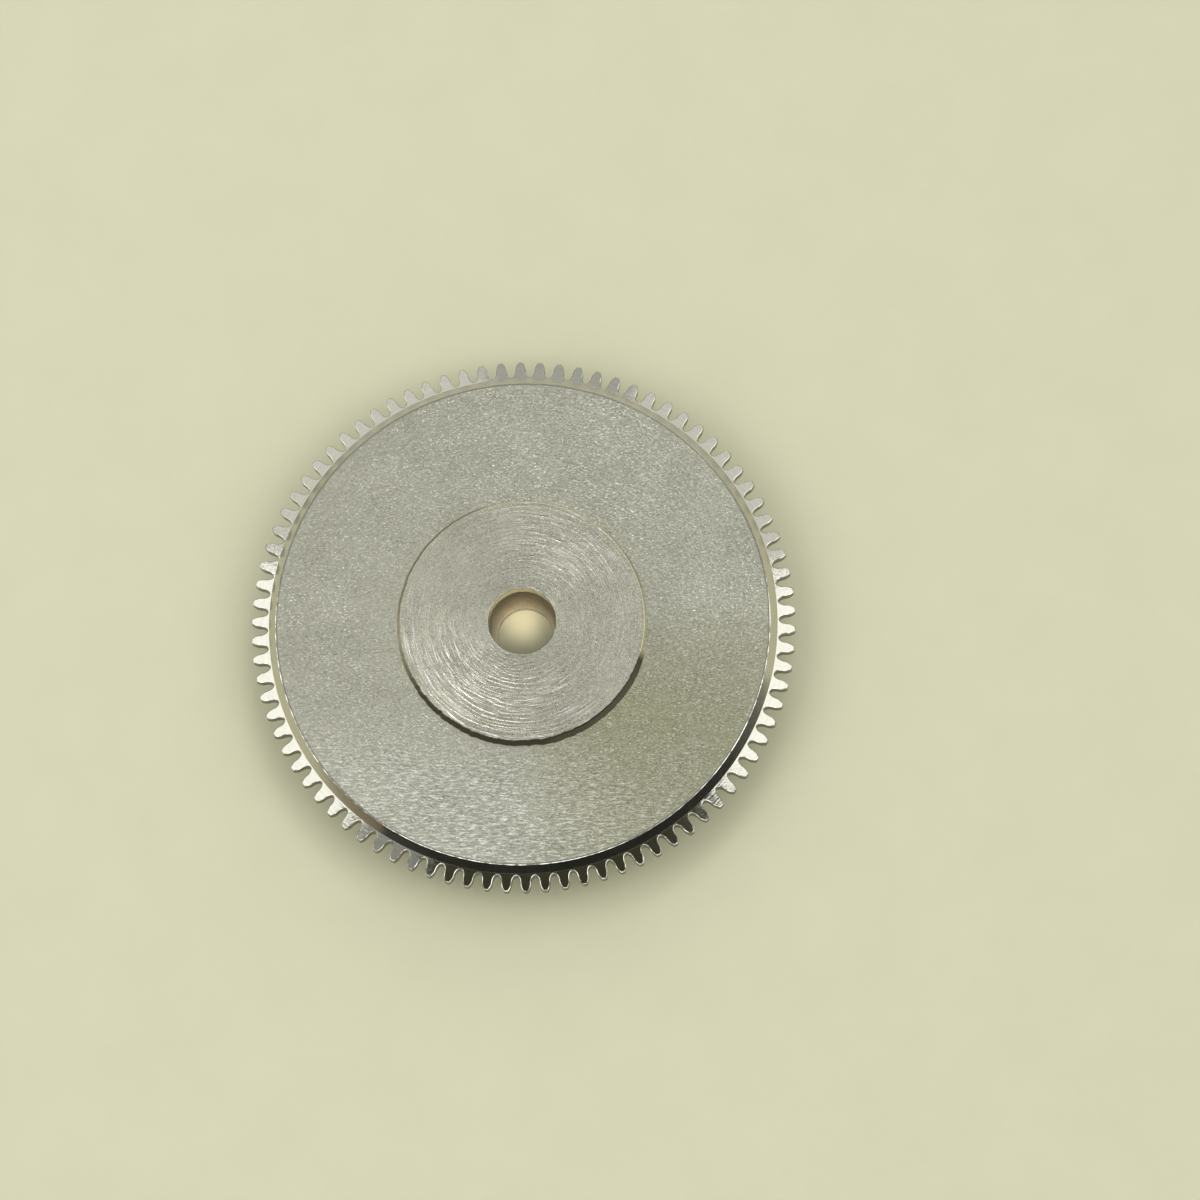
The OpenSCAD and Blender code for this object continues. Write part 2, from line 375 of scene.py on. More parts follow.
def crisp(piece):
    """Weights the shading by area, so that large flat faces stay flat beside their narrow rounded edges."""
    mesh = piece.data
    vertex = np.zeros(len(mesh.loops), int)
    mesh.loops.foreach_get("vertex_index", vertex)
    sizes = np.zeros(len(mesh.polygons), int)
    mesh.polygons.foreach_get("loop_total", sizes)
    facing = np.zeros(len(sizes) * 3)
    mesh.polygons.foreach_get("normal", facing)
    area = np.zeros(len(sizes))
    mesh.polygons.foreach_get("area", area)
    order = np.argsort(vertex, kind="stable")
    face = np.repeat(np.arange(len(sizes)), sizes)[order]
    vertex = vertex[order]
    own = facing.reshape(-1, 3)[face]
    weighted = own * (area / MM ** 2)[face][:, None]
    total = weighted.copy()
    for step in range(1, np.bincount(vertex).max()):
        first = np.nonzero((vertex[step:] == vertex[:-step])
                           & ((own[step:] * own[:-step]).sum(1) > math.cos(SHADED_ANGLE)))[0]
        total[first] += weighted[first + step]
        total[first + step] += weighted[first]
    normals = np.zeros_like(total)
    normals[order] = total / np.linalg.norm(total, axis=1)[:, None]
    mesh.normals_split_custom_set(normals.tolist())


def blade_radius(turn):
    """Radius of the middle of the blade after a number of turns from its outer end."""
    pack_inner = BLADE_OUTER_R - PACKED_COILS * COIL_PITCH
    eye_start = EYE_R + BLADE_T / 2 + EYE_TURNS * COIL_PITCH
    t = np.clip((turn - PACKED_COILS) / FREE_TURNS, 0, 1)
    free = pack_inner + (eye_start - pack_inner) * t * t * (3 - 2 * t)
    packed = BLADE_OUTER_R - COIL_PITCH * turn
    inner = eye_start - COIL_PITCH * (turn - PACKED_COILS - FREE_TURNS)
    return np.where(turn <= PACKED_COILS, packed,
                    np.where(turn <= PACKED_COILS + FREE_TURNS, free, inner))


def strip(name, radius, angle, thickness, low, high, edge):
    """A flat strip on edge that runs at a radius over an angle, with its ends cut square."""
    half = thickness / 2
    corners = [(-half, low), (half, low), (half, high), (-half, high)]
    section = rounded([(*corner, edge) for corner in corners], steps=2)
    path = np.stack([radius * np.cos(angle), radius * np.sin(angle)], axis=-1)
    run = np.gradient(path, axis=0)
    out = np.stack([run[:, 1], -run[:, 0]], axis=-1)
    out /= np.linalg.norm(out, axis=1)[:, None]
    off = np.array([p[0] for p in section])
    z = np.array([p[1] for p in section])
    flat = path[:, None, :] + out[:, None, :] * off[None, :, None]
    xyz = np.concatenate([flat, np.broadcast_to(z[None, :, None], flat.shape[:2] + (1,))], axis=-1)
    count, rings = len(path), len(section)
    faces = loop_faces(count, rings, False)
    faces.append(list(range(rings)))
    faces.append([(count - 1) * rings + k for k in reversed(range(rings))])
    return make_object(name, xyz.reshape(-1, 3), faces)


def cut(piece, cutter):
    """Takes the cutter out of a piece, and deletes the cutter."""
    modifier = piece.modifiers.new("cut", "BOOLEAN")
    modifier.operation = "DIFFERENCE"
    modifier.solver = "EXACT"
    modifier.object = cutter
    bpy.context.view_layer.update()
    made = piece.evaluated_get(bpy.context.evaluated_depsgraph_get())
    mesh = bpy.data.meshes.new_from_object(made)
    piece.modifiers.clear()
    piece.data = mesh
    smooth(mesh)
    bpy.data.objects.remove(cutter)


def mainspring_mesh():
    """The wound blade, with the slot near its inner end."""
    turns = PACKED_COILS + FREE_TURNS + EYE_TURNS
    steps_a_turn, steps_an_end = 96, 12
    turn = np.linspace(0, turns, round(turns * steps_a_turn) + 1)
    piece = strip("mainspring_fine", blade_radius(turn), 2 * math.pi * turn, BLADE_T,
                  BLADE_Z, BLADE_TOP, BLADE_EDGE)
    eye_r = EYE_R + BLADE_T / 2
    at = 2 * math.pi * turns - EYE_SLOT_POS / eye_r
    half_l, half_w = (EYE_SLOT_L - EYE_SLOT_W) / 2, EYE_SLOT_W / 2
    ends = [(side * half_l + half_w * math.cos(a), half_w * math.sin(a))
            for side, first in ((1, -90), (-1, 90))
            for a in [math.radians(first + 180 * k / steps_an_end) for k in range(steps_an_end + 1)]]
    verts = [(depth, y, z) for depth in (-BLADE_T, BLADE_T) for y, z in ends]
    count = len(ends)
    faces = [list(range(count)), list(range(2 * count - 1, count - 1, -1))]
    faces += [[k, count + k, count + (k + 1) % count, (k + 1) % count] for k in range(count)]
    place = Matrix.Rotation(at, 4, "Z") @ Matrix.Translation((eye_r, 0, BLADE_MIDDLE))
    cut(piece, make_object("slot_cutter", [tuple(place @ Vector(v)) for v in verts], faces))
    return piece


def bridle_mesh():
    """The stiff strip outside the outermost coil."""
    steps = 360
    angle = np.radians(np.linspace(0, BRIDLE_ANGLE, steps + 1))
    return strip("bridle_fine", (BRIDLE_INNER_R + BRIDLE_OUTER_R) / 2, angle, BRIDLE_T,
                 bridle_low.z / MM, bridle_high.z / MM, SOFT_EDGE)


def rivets_mesh():
    """Flush rivets through blade and bridle, each a turned pin with a softly domed end."""
    inner = BLADE_OUTER_R - BLADE_T / 2 - RIVET_OUT
    outer = BRIDLE_OUTER_R
    section = [(0, outer), (DOME_R, outer - DOME_TOP_H), (RIVET_R, outer - DOME_H),
               (RIVET_R, inner + DOME_H), (DOME_R, inner + DOME_TOP_H), (0, inner)]
    sides = 32
    verts, faces = [], []
    for i in range(1, RIVET_COUNT + 1):
        place = (Matrix.Rotation(RIVET_STEP * i / BLADE_OUTER_R, 4, "Z")
                 @ Matrix.Translation((0, 0, BLADE_MIDDLE)))
        ring_start = []
        for r, x in section:
            ring_start.append(len(verts))
            around = [2 * math.pi * k / sides for k in range(sides if r else 1)]
            verts += [tuple(place @ Vector((x, r * math.cos(a), r * math.sin(a)))) for a in around]
        for k in range(sides):
            n = (k + 1) % sides
            faces.append([ring_start[0], ring_start[1] + k, ring_start[1] + n])
            for a, b in zip(ring_start[1:-2], ring_start[2:-1]):
                faces.append([a + k, b + k, b + n, a + n])
            faces.append([ring_start[-2] + k, ring_start[-1], ring_start[-2] + n])
    return make_object("bridle_rivets_fine", verts, faces)


# Materials

# Distance in millimetres between the rings that the facing tool left on the boss
FEED_PITCH = 0.09
# Directions from the axis, in degrees: where the tool's rings are deepest and painted whitest, where
# the face has its painted olive shade, and the two that bound the painted shade in the boss's step
MARKS_AND_HIGHLIGHT_SIDE = 246
OLIVE_SHADE_SIDE = 318
STEP_SHADE_SIDE = 228
STEP_SHADE_DEEPEST_SIDE = 285
# White for the painted highlights: sparkle, thin arcs and long streaks
HIGHLIGHT_WHITE = (0.96, 0.96, 0.9, 1)
# Olive for the painted shade on the face's near right
OLIVE_SHADE = (0.2, 0.2, 0.06, 1)
# Near black for the painted shade in the boss's step
STEP_SHADE = (0.02, 0.019, 0.014, 1)
# A plain mid tone, painted on the far side of the chamfers
PAINTED_FAR_TONE = (0.5, 0.49, 0.39, 1)


class Nodes:
    """A material's nodes, added one after another."""

    def __init__(self, name):
        self.material = bpy.data.materials.new(name)
        self.material.use_nodes = True
        self.tree = self.material.node_tree
        self.shader = self.tree.nodes["Principled BSDF"]

    def add(self, kind, inputs=None, **settings):
        node = self.tree.nodes.new(kind)
        for key, value in settings.items():
            setattr(node, key, value)
        for key, value in (inputs or {}).items():
            self.feed(node.inputs[key], value)
        return node

    def feed(self, socket, value):
        if isinstance(value, bpy.types.NodeSocket):
            self.tree.links.new(value, socket)
        else:
            socket.default_value = value

    def math(self, operation, *values):
        node = self.add("ShaderNodeMath", operation=operation)
        for socket, value in zip(node.inputs, values):
            self.feed(socket, value)
        return node.outputs[0]

    def vector(self, operation, *values):
        node = self.add("ShaderNodeVectorMath", operation=operation)
        for socket, value in zip(node.inputs, values):
            self.feed(socket, value)
        return node.outputs[0]

    def noise(self, vector, scale, detail=2.0, rough=0.5):
        node = self.add("ShaderNodeTexNoise", {"Vector": vector, "Scale": scale, "Detail": detail,
                                               "Roughness": rough})
        return node.outputs["Fac"]

    def ramp(self, value, low, high, out_low, out_high):
        node = self.add("ShaderNodeMapRange", {"Value": value, "From Min": low, "From Max": high,
                                               "To Min": out_low, "To Max": out_high})
        return node.outputs["Result"]

    def swing(self, value, width):
        """A value from 0 to 1, spread over that width about 0."""
        return self.ramp(value, 0, 1, -width / 2, width / 2)

    def blend(self, share, first, second):
        node = self.add("ShaderNodeMix", data_type="RGBA")
        for name, value in (("Factor", share), ("A", first), ("B", second)):
            self.feed(node.inputs[name], value)
        return node.outputs["Result"]

    def tone(self, value, dark, light):
        return self.blend(value, (*dark, 1), (*light, 1))

    def place(self):
        """Object position in millimetres."""
        where = self.add("ShaderNodeTexCoord").outputs["Object"]
        scaled = self.add("ShaderNodeVectorMath", {0: where, 3: 1 / MM}, operation="SCALE")
        return scaled.outputs[0]

    def split(self, place):
        """The three parts of a position, and its distance from the axis."""
        x, y, z = self.add("ShaderNodeSeparateXYZ", {0: place}).outputs
        squares = self.math("ADD", self.math("MULTIPLY", x, x), self.math("MULTIPLY", y, y))
        return x, y, z, self.math("SQRT", squares)

    def toward(self, place, degrees):
        """How far a spot lies to that side of the axis, from -1 to 1."""
        x, y, _, r = self.split(place)
        side = math.radians(degrees)
        reach = self.math("ADD", self.math("MULTIPLY", x, math.cos(side)),
                          self.math("MULTIPLY", y, math.sin(side)))
        return self.math("DIVIDE", reach, self.math("MAXIMUM", r, 0.01))

    def round_axis(self, place, along, across):
        """A position that runs fast across the turning marks and slowly along them."""
        x, y, z, r = self.split(place)
        safe = self.math("MAXIMUM", r, 0.01)
        joined = self.add("ShaderNodeCombineXYZ", {
            0: self.math("MULTIPLY", self.math("DIVIDE", x, safe), along),
            1: self.math("MULTIPLY", self.math("DIVIDE", y, safe), along),
            2: self.math("MULTIPLY", self.math("ADD", r, z), across)})
        return joined.outputs[0]

    def marks_and_highlight(self, place):
        """How deep the facing tool's rings are and how white their painted highlight is: most on the near
        left, and some opposite.
        """
        toward = self.toward(place, MARKS_AND_HIGHLIGHT_SIDE)
        near = self.math("MULTIPLY", self.ramp(toward, 0.25, 0.85, 0.15, 1.0),
                         self.ramp(self.split(place)[3], 1.0, 1.7, 0.4, 1.0))
        return self.math("ADD", near, self.ramp(toward, -0.7, -0.95, 0.0, 0.35))

    def feed_marks(self, place):
        """Height, from 0 to 1, of the rings that a facing tool leaves: a short steep side that looks
        to the axis and a long gentle one, uneven in spacing and depth, and deepest on two sides."""
        wander = self.noise(self.round_axis(place, 1.2, 2.0), 1.0, 2.0, 0.5)
        turns = self.math("ADD", self.math("DIVIDE", self.split(place)[3], FEED_PITCH),
                          self.math("MULTIPLY", wander, 4.0))
        part = self.math("FRACT", turns)
        height = self.math("MINIMUM", self.math("MULTIPLY", part, 4.0),
                           self.math("MULTIPLY", self.math("SUBTRACT", 1.0, part), 4 / 3))
        uneven = self.noise(self.round_axis(place, 4.0, 6.0), 1.0, 3.0, 0.6)
        depth = self.ramp(uneven, 0.38, 0.62, 0.1, 1.0)
        return self.math("MULTIPLY", self.math("MULTIPLY", height, depth), self.marks_and_highlight(place))

    def glints(self, place, along, across, whiteness):
        """How white the thin arcs among the turning marks are painted, a painted highlight where the tool's
        marks show.
        """
        thin = self.noise(self.round_axis(place, along, 2 * across), 1.0, 2.0, 0.5)
        return self.math("MULTIPLY", self.ramp(thin, 0.56, 0.66, 0, whiteness), self.marks_and_highlight(place))

    def highlight_streaks(self, place, patches, whiteness):
        """How white the long painted highlight streaks are, which lie along X on the near side with a
        ragged border.
        """
        x, y, _, _ = self.split(place)
        drawn = self.noise(self.vector("MULTIPLY", place, (0.2, 1, 1)), 24.0, 4.0, 0.7)
        border = self.math("ADD", self.math("ADD", y, self.math("MULTIPLY", x, 0.1)),
                           self.swing(patches, 4))
        return self.math("MULTIPLY", self.ramp(drawn, 0.49, 0.61, 0, whiteness),
                         self.ramp(border, -4.0, -2.2, 1, 0))

    def facets(self, place, tilt, size=0.015, stretch=2.6):
        """A normal that leans a little and at random from one fine scratch to the next, and a random
        number for each scratch. The scratches run along X, and are stretch times as long as wide."""
        drawn = self.vector("MULTIPLY", place, (1 / stretch, 1, 1))
        cells = self.add("ShaderNodeTexVoronoi", {"Vector": drawn, "Scale": 1 / size})
        colour = cells.outputs["Color"]
        lean = self.vector("MULTIPLY", self.vector("SUBTRACT", colour, (0.5, 0.5, 0.5)),
                           (tilt / 2, tilt, 0))
        upright = self.add("ShaderNodeNewGeometry").outputs["Normal"]
        normal = self.vector("NORMALIZE", self.vector("ADD", upright, lean))
        return normal, self.add("ShaderNodeSeparateXYZ", {0: colour}).outputs[2]

    def bump(self, height, distance, normal=None):
        inputs = {"Height": height, "Distance": distance * MM, "Strength": 1.0}
        if normal:
            inputs["Normal"] = normal
        return self.add("ShaderNodeBump", inputs).outputs["Normal"]


def metal(name, dark, light, roughness, along, across, grain=0.0, turning=0.0, grain_size=0.05,
          facets=0.0, flecks=0.0, sparks=0.0, streaks=0.24, lines=0.3, glints=0.0, feed=0.0,
          highlight_streaks=0.0, olive_shade=0.0, step_shade=0.0, haze=0.0, calm=0.0):
    """Plated metal, between two colours and between two roughnesses.

    along and across set how the turning marks stretch round the axis. turning, grain and feed are
    the depths in millimetres of these marks, of the blasted grain and of the facing tool's rings.
    facets is how far the fine scratches lean, flecks how much they differ in brightness, and sparks
    how white the brightest are, a painted sparkle. streaks and lines are how much the grain and the
    turning marks show in the colour, and glints how white the thin arcs among them are, a painted
    highlight. highlight_streaks is how white the long painted highlight streaks on the near side are,
    olive_shade how olive the painted shade on the near right is, step_shade how dark the painted shade
    on the left is, haze how much rougher the far side is, and calm how much of the far side's colour is
    painted an even mid tone."""
    n = Nodes(name)
    place = n.place()
    marks = n.noise(n.round_axis(place, along, across), 1.0, 3.0, 0.6)
    grains = n.noise(place, 1 / grain_size, 2.0, 0.6)
    patches = n.noise(place, 0.9, 3.0, 0.55)
    far = n.split(place)[1]
    shade = n.math("ADD", n.ramp(patches, 0, 1, 0.45, 0.55),
                   n.math("ADD", n.swing(grains, streaks), n.swing(marks, lines)))
    normal = None
    white = []
    if facets or flecks:
        normal, chance = n.facets(place, facets)
        shade = n.math("ADD", shade, n.swing(chance, flecks))
        # The brightest scratches are painted white, in patches: a painted sparkle
        sparkle_spread = n.ramp(n.noise(place, 0.45, 2.0, 0.5), 0.4, 0.6, 0.35, 1.0)
        white.append(n.math("MULTIPLY", n.ramp(chance, 0.9, 1.0, 0, sparks), sparkle_spread))
    # Thin arcs painted white among the turning marks: a painted highlight
    if glints:
        white.append(n.glints(place, along, across, glints))
    # Long streaks painted white on the near side: a painted highlight
    if highlight_streaks:
        white.append(n.highlight_streaks(place, patches, highlight_streaks))

    colour = n.tone(n.ramp(shade, 0.3, 0.7, 0, 1), dark, light)
    for share in white:
        colour = n.blend(share, colour, HIGHLIGHT_WHITE)
    # The near right painted darker towards olive: painted shade
    if olive_shade:
        share = n.math("MULTIPLY", n.ramp(n.toward(place, OLIVE_SHADE_SIDE), 0.65, 1.0, 0, olive_shade),
                       n.ramp(patches, 0.3, 0.7, 0.8, 1.2))
        colour = n.blend(share, colour, OLIVE_SHADE)
    # The step painted dark everywhere but towards the far right, most on the near side: painted shade
    if step_shade:
        share = n.math("MULTIPLY", n.ramp(n.toward(place, STEP_SHADE_SIDE), -0.5, -0.42, 0, step_shade),
                       n.ramp(n.toward(place, STEP_SHADE_DEEPEST_SIDE), -0.1, 0.35, 0.4, 1))
        colour = n.blend(share, colour, STEP_SHADE)
    # The far side painted an even mid tone, as it shows under the light there
    if calm:
        colour = n.blend(n.ramp(far, 0, 4, 0, calm), colour, PAINTED_FAR_TONE)

    rough = n.ramp(n.math("ADD", patches, grains), 0.6, 1.4, *roughness)
    if haze:
        rough = n.math("ADD", rough, n.ramp(far, 0.5, 4.0, 0, haze))
    if turning:
        normal = n.bump(marks, turning, normal)
    if feed:
        normal = n.bump(n.feed_marks(place), feed, normal)
    if grain:
        normal = n.bump(grains, grain, normal)
    n.feed(n.shader.inputs["Base Color"], colour)
    n.feed(n.shader.inputs["Roughness"], rough)
    n.shader.inputs["Metallic"].default_value = 1.0
    if normal:
        n.feed(n.shader.inputs["Normal"], normal)
    return n.material


# The face's white sparks and long white streaks are painted highlights, and its olive near right is painted
# shade
face_metal = metal("cover_face", (0.26, 0.257, 0.195), (0.54, 0.535, 0.445), (0.26, 0.38),
                   along=9, across=20, grain=0.003, turning=0.004, grain_size=0.04, facets=0.27,
                   flecks=0.11, sparks=0.7, lines=0.1, highlight_streaks=0.6, olive_shade=0.4)
# The boss's thin white arcs are a painted highlight
boss_metal = metal("cover_boss", (0.28, 0.275, 0.21), (0.63, 0.62, 0.515), (0.22, 0.32),
                   along=3, across=20, grain=0.0015, turning=0.006, grain_size=0.03, facets=0.16,
                   flecks=0.08, sparks=0.35, lines=0.16, glints=0.85, feed=0.0065)
# The step's tan is a painted reflection of the pale paper, and its dark near side is painted shade
step_metal = metal("boss_step", (0.55, 0.52, 0.34), (0.7, 0.66, 0.45), (0.4, 0.5),
                   along=4, across=14, turning=0.003, step_shade=0.86)
edge_metal = metal("cover_edge", (0.38, 0.37, 0.3), (0.52, 0.51, 0.42), (0.14, 0.22),
                   along=4, across=14, turning=0.003)
rim_metal = metal("rim_bright", (0.44, 0.435, 0.37), (0.58, 0.575, 0.5), (0.04, 0.08),
                  along=8, across=20, turning=0.0007, facets=0.02, flecks=0.1)
# The chamfers' far side is painted an even mid tone
glint_metal = metal("rim_edges", (0.12, 0.117, 0.09), (0.78, 0.77, 0.7), (0.14, 0.24),
                    along=8, across=20, grain_size=0.16, streaks=1.7, calm=0.9)
# The flanks are a darker copy of the rim's metal: painted shade
shaded_flank_metal = metal("rim_flanks", (0.17, 0.16, 0.115), (0.25, 0.235, 0.175), (0.2, 0.3),
                    along=8, across=20, turning=0.002)
bevel_metal = metal("bevel_turned", (0.5, 0.485, 0.41), (0.68, 0.665, 0.58), (0.09, 0.14),
                    along=3, across=26, turning=0.001, haze=0.3)
wall_metal = metal("drum_turned", (0.38, 0.375, 0.31), (0.52, 0.515, 0.43), (0.22, 0.34),
                   along=3, across=12, grain=0.002, turning=0.006)
# The inside's warm brown tint is painted light, the cream paper's glow reflected within
chamber_metal = metal("drum_inside", (0.44, 0.385, 0.24), (0.7, 0.625, 0.41), (0.3, 0.42),
                      along=3, across=12, grain=0.003, turning=0.004, lines=0.6)
blade_metal = metal("spring_blade", (0.42, 0.44, 0.47), (0.54, 0.55, 0.57), (0.16, 0.26),
                    along=2, across=8, turning=0.002)
bridle_metal = metal("bridle_satin", (0.38, 0.39, 0.41), (0.48, 0.49, 0.5), (0.28, 0.4),
                     along=2, across=8, grain=0.002, turning=0.002)
rivet_metal = metal("rivet_bright", (0.6, 0.6, 0.6), (0.7, 0.7, 0.69), (0.2, 0.3),
                    along=2, across=8, grain=0.002)


# The pieces

# How far up a face's normal points: the most for an upright face, the least for a chamfer along a
# tooth and for the one on the crest, and the most for either
UPRIGHT = 0.2
TOOTH_CHAMFER_UP = 0.3
CREST_CHAMFER_UP = 0.75
LEVEL = 0.93
# How far below the rim's top the teeth's chamfers may lie, how far back the cover's frosted disc
# stays from its edge, and how far from the boss's bevel the step's finish reaches
CHAMFER_REACH = 0.1
DISC_BACK = 0.005
STEP_REACH = 0.1


def drum_finish(r, z, up):
    """The number of the material of each face of the drum, from its radius, height and slope."""
    wall, rim, bevel, chamber, flank, glint = range(6)
    flanks = (r > ROOT_R - NEAR) & (z > RIM_Z + EDGE / 2) & (np.abs(up) < UPRIGHT)
    tooth_chamfers = ((r > BEVEL_FOOT_R + NEAR) & (z > RIM_TOP - CHAMFER_REACH)
                      & (up > TOOTH_CHAMFER_UP) & (up < LEVEL))
    crest_chamfer = ((r > MOUTH_R) & (z > FACE_Z - CREST_GLINT_DROP)
                     & (up > CREST_CHAMFER_UP) & (up < LEVEL))
    teeth = (r > BEVEL_FOOT_R - NEAR) & (z > RIM_Z - CHAMFER)
    slope = (r > CREST_R + NEAR) & (z > RIM_TOP - CORNER)
    mouth = (r > MOUTH_R - CORNER) & (z > SEAT_Z)
    inside = ((r > DRUM_BORE_R + HAIR) & (r < CHAMBER_R + NOTCH_DEPTH + CHAMFER)
              & (z > FLOOR_TOP - CORNER))
    return np.select([flanks, tooth_chamfers, crest_chamfer, teeth, slope, mouth, inside],
                     [flank, glint, glint, rim, bevel, rim, chamber], wall)


def cover_finish(r, z, up):
    """The number of the material of each face of the cover, from its radius, height and slope."""
    face, boss, edge, step = range(4)
    above = z > FACE_Z - HAIR
    disc = above & (r > BOSS_R + BOSS_BEVEL_W) & (r < MOUTH_R - SEAM - DISC_BACK)
    boss_top = (z > BOSS_Z - HAIR) & (r < BOSS_R - CORNER)
    boss_step = above & (r > BOSS_R - STEP_REACH) & (r < BOSS_R + BOSS_BEVEL_W + STEP_REACH)
    return np.select([disc, boss_top, boss_step], [face, boss, step], edge)


def dress(piece, finish, *materials):
    """Gives each face the material whose number finish returns, or all the first if it is None."""
    for material in materials:
        piece.data.materials.append(material)
    if finish is None:
        return
    mesh = piece.data
    centre = np.zeros(len(mesh.polygons) * 3)
    normal = np.zeros(len(mesh.polygons) * 3)
    mesh.polygons.foreach_get("center", centre)
    mesh.polygons.foreach_get("normal", normal)
    x, y, z = centre.reshape(-1, 3).T / MM
    index = finish(np.hypot(x, y), z, normal.reshape(-1, 3)[:, 2])
    mesh.polygons.foreach_set("material_index", index.astype(np.int32))


def fit(piece, node, body):
    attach(piece, body)
    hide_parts(node)


drum = drum_mesh()
crisp(drum)
dress(drum, drum_finish, wall_metal, rim_metal, bevel_metal, chamber_metal, shaded_flank_metal, glint_metal)
fit(drum, "barrel_drum", "drum")

cover = cover_mesh()
crisp(cover)
dress(cover, cover_finish, face_metal, boss_metal, edge_metal, step_metal)
fit(cover, "barrel_cover", "cover")

spring = mainspring_mesh()
dress(spring, None, blade_metal)
fit(spring, "mainspring", "spring")

bridle = bridle_mesh()
dress(bridle, None, bridle_metal)
fit(bridle, "bridle", "spring")

rivets = rivets_mesh()
dress(rivets, None, rivet_metal)
fit(rivets, "bridle_rivets", "spring")


# The stage

# The photograph is 1200 pixels across and shows 47.3 of them to the millimetre.
PHOTO_SIZE = 1200
PIXELS_PER_MM = 47.3
RIM_CENTRE_X, RIM_CENTRE_Y = 523.0, 624.8
# The camera's distance in millimetres, and how far it looks down
DISTANCE = 210
ELEVATION = math.radians(76)
# The photograph has no tooth straight to the right, so the camera is rolled by part of a pitch
ROLL = math.radians(1.42)
NEAR_SIDE = math.radians(281) + ROLL
SENSOR = 36

toward_camera = Vector((math.cos(ELEVATION) * math.cos(NEAR_SIDE),
                        math.cos(ELEVATION) * math.sin(NEAR_SIDE), math.sin(ELEVATION)))


def stage_sheet(name, points, faces, material, unseen_by=()):
    """A sheet of the stage, from points in metres, which rays of some kinds don't see."""
    mesh = bpy.data.meshes.new(name)
    mesh.from_pydata(points, [], faces)
    mesh.materials.append(material)
    sheet = bpy.data.objects.new(name, mesh)
    bpy.context.scene.collection.objects.link(sheet)
    for rays in unseen_by:
        setattr(sheet, "visible_" + rays, False)


def paper(name, dark, light, mottle=0.05, detail=2.0, rough=0.5, roughness=0.9):
    """Matt paper between two colours, with mottle patches to the millimetre."""
    n = Nodes(name)
    n.feed(n.shader.inputs["Base Color"],
           n.tone(n.noise(n.place(), mottle, detail, rough), dark, light))
    n.shader.inputs["Roughness"].default_value = roughness
    return n.material


# Half the floor's side in metres
FLOOR_HALF = 1.5
FLOOR_CORNERS = ((-1, -1), (1, -1), (1, 1), (-1, 1))
stage_sheet("floor", [(x * FLOOR_HALF, y * FLOOR_HALF, 0) for x, y in FLOOR_CORNERS], [(0, 1, 2, 3)],
            paper("pale_paper", (0.665, 0.655, 0.455), (0.715, 0.705, 0.5),
                  mottle=0.6, detail=4.0, rough=0.6, roughness=0.85))


def hang(name, lamp, location, toward=None):
    """Hangs a lamp that the camera doesn't see, level or with its back turned to a direction."""
    holder = bpy.data.objects.new(name, lamp)
    holder.location = location
    if toward is not None:
        holder.rotation_mode = "QUATERNION"
        holder.rotation_quaternion = Vector(toward).to_track_quat("Z", "Y")
    holder.visible_camera = False
    bpy.context.scene.collection.objects.link(holder)
    return holder


def rectangle(name, width, height, radiance):
    """A rectangular lamp of that radiance, its sides in metres."""
    lamp = bpy.data.lights.new(name, "AREA")
    lamp.shape = "RECTANGLE"
    lamp.size, lamp.size_y = width, height
    lamp.energy = radiance * math.pi * lamp.size * lamp.size_y
    return lamp


# Level lamps overhead: each one's height in metres, where it begins and ends in x and in y as
# slopes from the barrel, and its radiance
NEAR_PANEL = 0.16
FAR_PANEL = 0.45
PANELS = (
    ("panel_left", NEAR_PANEL, (-1.5, -0.252), (-0.7, 0.335), 1.4),
    ("panel_right", FAR_PANEL, (0.151, 1.4), (-0.6, 0.31), 1.42),
    ("panel_right_inner", FAR_PANEL, (0.085, 0.151), (0.16, 0.31), 1.25),
    ("panel_top_right", FAR_PANEL, (0.05, 0.4), (0.31, 0.62), 0.58),
    ("panel_top", FAR_PANEL, (-0.12, 0.05), (0.4, 0.62), 0.2),
    ("panel_top_left", FAR_PANEL, (-0.6, -0.12), (0.345, 0.62), 0.62),
    ("panel_high", FAR_PANEL, (-0.05, 0.33), (0.66, 0.86), 6.5),
)
for name, height, (left, right), (near, far), radiance in PANELS:
    hang(name, rectangle(name, height * (right - left), height * (far - near), radiance),
         (height * (left + right) / 2, height * (near + far) / 2, height))

# Lamps that face the barrel from half a metre away: the direction, the sides and the radiance. The
# three low strips light only what mirrors them: the chamfers along the teeth and the crest.
BOX_DISTANCE = 0.5
BOXES = (
    ("box_back", (0.0, 0.87, 0.42), 0.7, 0.2, 0.9),
    ("strip_left", (-0.91, -0.16, 0.39), 0.48, 0.14, 2.2),
    ("strip_front", (-0.12, -0.83, 0.545), 0.6, 0.14, 2.2),
    ("strip_right", (0.86, -0.23, 0.454), 0.7, 0.14, 2.2),
)
for name, toward, width, height, radiance in BOXES:
    toward = Vector(toward).normalized()
    holder = hang(name, rectangle(name, width, height, radiance), toward * BOX_DISTANCE, toward)
    holder.visible_diffuse = not name.startswith("strip")

# Narrow, warm spots that shine down the arbor hole: the direction and the power in watts
SPOT_DISTANCE = 0.065
SPOT_R = 0.0003
SPOT_ANGLE = math.radians(1)
SPOT_COLOUR = (1, 0.87, 0.72)
for name, toward, power in (("spot_paper", (0, 0, 1), 0.004), ("spot_bore", toward_camera, 0.165)):
    spot = bpy.data.lights.new(name, "SPOT")
    spot.energy = power
    spot.color = SPOT_COLOUR
    spot.spot_size = SPOT_ANGLE
    spot.spot_blend = 1
    spot.shadow_soft_size = SPOT_R
    hang(name, spot, Vector((0, 0, BOSS_Z * MM)) + Vector(toward) * SPOT_DISTANCE, toward)


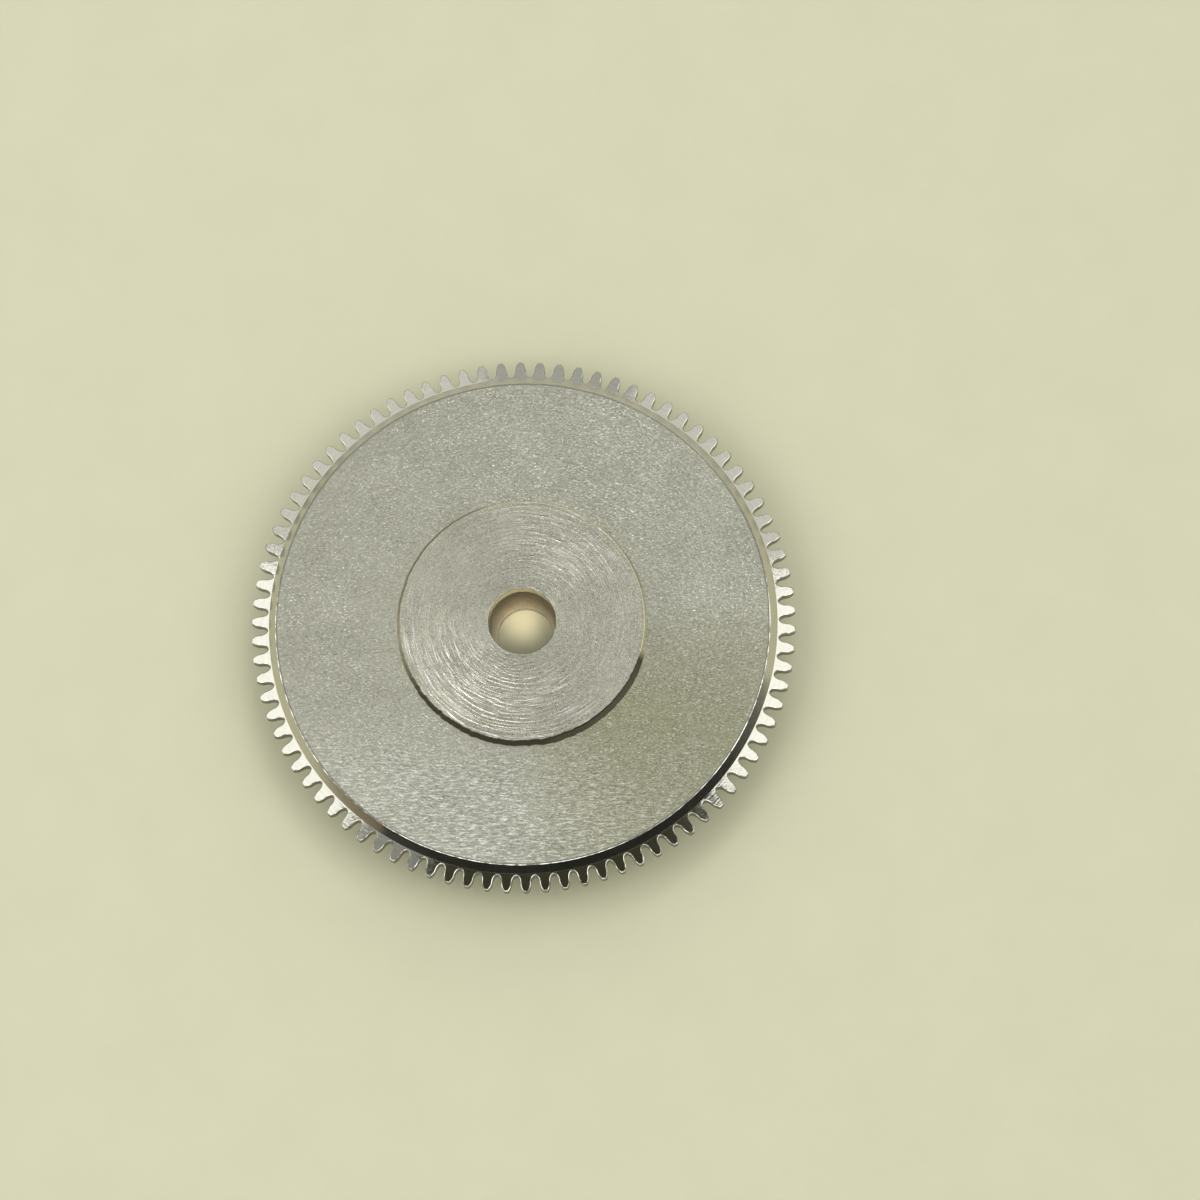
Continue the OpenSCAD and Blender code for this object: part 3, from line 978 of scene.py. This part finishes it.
# Cards, as a photographer sets them round polished metal: a grey one over the barrel on the
# camera's side, and two that only what mirrors them sees, a low black one in front and a low brown
# one beside it. The camera looks past them.
OVER_CORNERS = ((-0.048, -0.13), (0.0468, -0.13), (0.0468, 0.025), (-0.048, 0.014))
OVER_HEIGHT = 0.3
stage_sheet("card_over", [(x, y, OVER_HEIGHT) for x, y in OVER_CORNERS], [(0, 1, 2, 3)],
            paper("grey_card", (0.09, 0.09, 0.075), (0.12, 0.12, 0.1)), ["camera"])

# How far from the barrel the low cards begin and stand up, and their two heights, all in metres
CARD_NEAR = 0.022
CARD_FAR = 0.3
CARD_LIFT = 0.0002
CARD_TOP = 0.1


def low_card(name, first, last, material):
    """A card between two angles in degrees, which lies on the floor and stands up at its far edge."""
    steps = 24
    angles = [math.radians(first + (last - first) * k / steps) for k in range(steps + 1)]
    profile = ((CARD_NEAR, CARD_LIFT), (CARD_FAR, CARD_LIFT), (CARD_FAR, CARD_TOP))
    points = [(r * math.cos(a), r * math.sin(a), z) for a in angles for r, z in profile]
    faces = [(3 * k + i, 3 * k + 3 + i, 3 * k + 4 + i, 3 * k + 1 + i) for k in range(steps) for i in (0, 1)]
    stage_sheet(name, points, faces, material, ["camera", "shadow", "diffuse"])


low_card("card_front", 228, 358, paper("black_card", (0.012, 0.013, 0.012), (0.018, 0.018, 0.016)))
low_card("card_side", 192, 228, paper("brown_card", (0.2, 0.16, 0.09), (0.25, 0.2, 0.12)))

# The world
world = bpy.data.worlds.new("studio")
bpy.context.scene.world = world
world.use_nodes = True
world.node_tree.nodes["Background"].inputs["Color"].default_value = (0.45, 0.45, 0.44, 1)
world.node_tree.nodes["Background"].inputs["Strength"].default_value = 1.0
bpy.context.scene.view_settings.view_transform = "Standard"

# The camera
upright = Vector((-math.sin(ROLL), math.cos(ROLL), 0))
image_up = (upright - toward_camera * upright.dot(toward_camera)).normalized()
image_right = image_up.cross(toward_camera)
middle = (Vector((0, 0, RIM_TOP))
          + image_right * ((PHOTO_SIZE / 2 - RIM_CENTRE_X) / PIXELS_PER_MM)
          + image_up * ((RIM_CENTRE_Y - PHOTO_SIZE / 2) / PIXELS_PER_MM))
lens = bpy.data.cameras.new("camera")
lens.sensor_width = SENSOR
lens.lens = SENSOR * DISTANCE / (PHOTO_SIZE / PIXELS_PER_MM)
lens.clip_start, lens.clip_end = 0.01, 10
camera = bpy.data.objects.new("camera", lens)
facing = Matrix((image_right, image_up, toward_camera)).transposed().to_4x4()
camera.matrix_world = Matrix.Translation((middle + toward_camera * DISTANCE) * MM) @ facing
bpy.context.scene.collection.objects.link(camera)
bpy.context.scene.camera = camera
